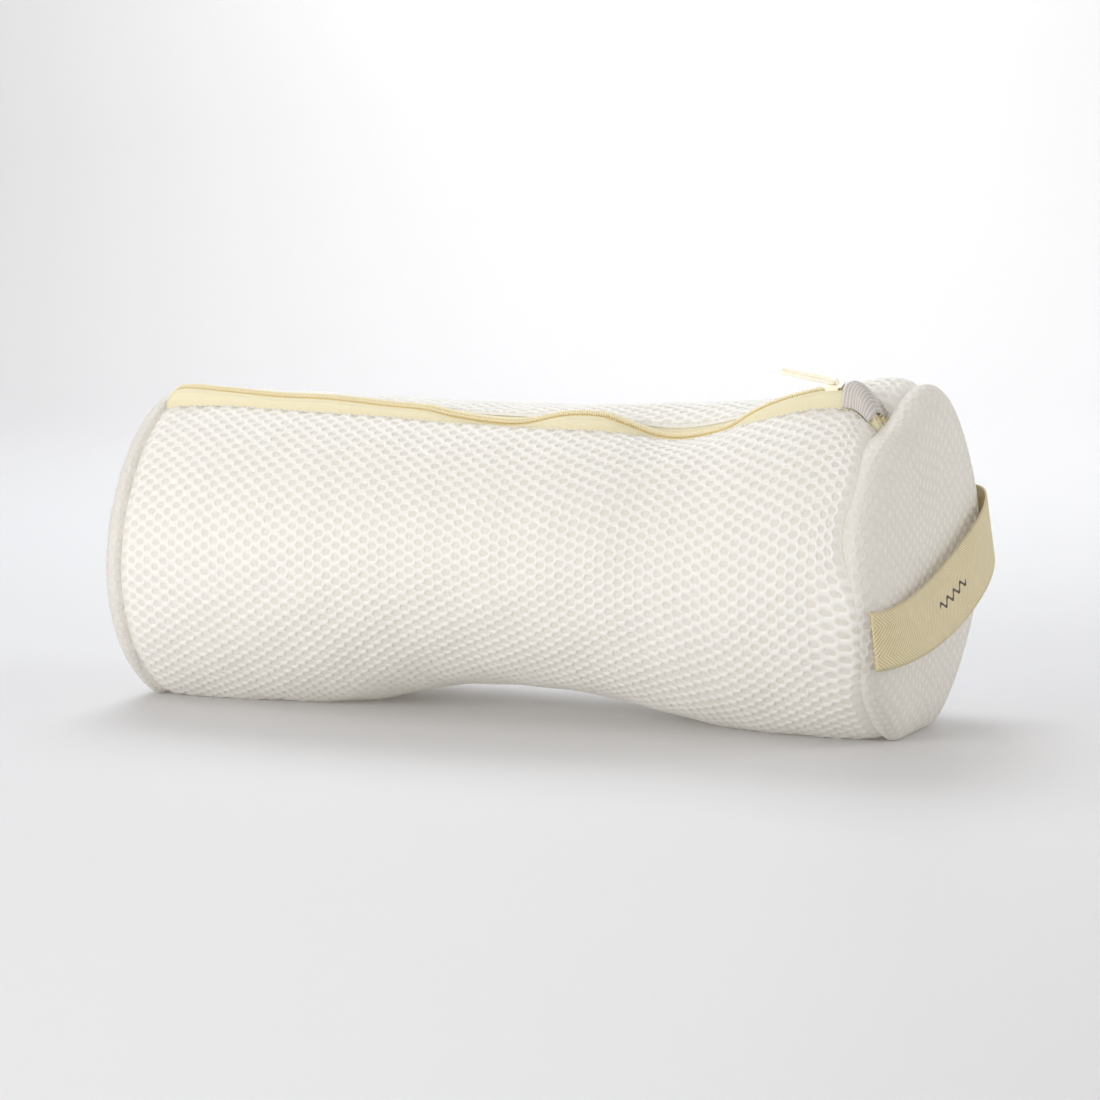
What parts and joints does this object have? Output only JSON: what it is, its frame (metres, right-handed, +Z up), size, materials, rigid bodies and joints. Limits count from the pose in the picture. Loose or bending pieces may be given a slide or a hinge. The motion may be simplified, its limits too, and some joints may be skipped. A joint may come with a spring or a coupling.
{
  "type": "mesh laundry bag",
  "caption": "Cylindrical spacer-mesh laundry bag with a coil zip along its top, an elastic slider keeper and a ribbon handle across one end",
  "frame": {"origin": "centre of the box around the part, on the surface that the bag lies on", "axes": "+X along the bag towards the handle end, +Y towards the side away from the zip's lean, +Z up"},
  "size_m": [0.4302, 0.1868, 0.1787],
  "materials": {
    "mesh": "white polyester spacer mesh with hexagonal cells over a fine ground",
    "binding": "white woven binding tape",
    "zip_tape": "pale yellow knitted zip tape",
    "zip_coil": "yellow nylon coil with a satin sheen",
    "thread": "white polyester sewing thread",
    "slider": "cream enamel, semi-gloss",
    "elastic": "pale grey ribbed elastic",
    "ribbon": "gold-beige herringbone ribbon",
    "ribbon_thread": "gold-beige sewing thread"
  },
  "bodies": {
    "bag": {"body_panel": "mesh", "plain_end_panel": "mesh", "handle_end_panel": "mesh", "plain_end_binding": "binding", "handle_end_binding": "binding", "zip_tape_near": "zip_tape", "zip_tape_far": "zip_tape", "zip_coil_near": "zip_coil", "zip_coil_far": "zip_coil", "zip_stitches_near": "thread", "zip_stitches_far": "thread", "keeper_band": "elastic", "keeper_stitches": "thread", "handle_near_end": "ribbon", "handle_far_end": "ribbon", "handle_stitches": "ribbon_thread"},
    "slider": {"slider_body": "slider", "slider_cap": "slider"},
    "puller": {"puller": "slider"},
    "handle": {"handle_strap": "ribbon"}
  },
  "joints": [
    {"name": "slider_travel", "type": "slide", "parent": "bag", "child": "slider", "axis": [-0.9995, -0.0092, -0.0316], "range_m": [0, 0.343], "deforming": ["zip_tape_near", "zip_tape_far", "zip_coil_near", "zip_coil_far"]},
    {"name": "puller_swing", "type": "hinge", "parent": "slider", "child": "puller", "pos_m": [0.15572, -0.0223, 0.17289], "axis": [-0.1417, 0.9643, 0.2237], "range_deg": [-15, 135]},
    {"name": "handle_swing", "type": "hinge", "parent": "bag", "child": "handle", "pos_m": [0.20288, 0.00333, 0.07606], "axis": [0, 0.9698, 0.2438], "range_deg": [-12, 18]}
  ]
}
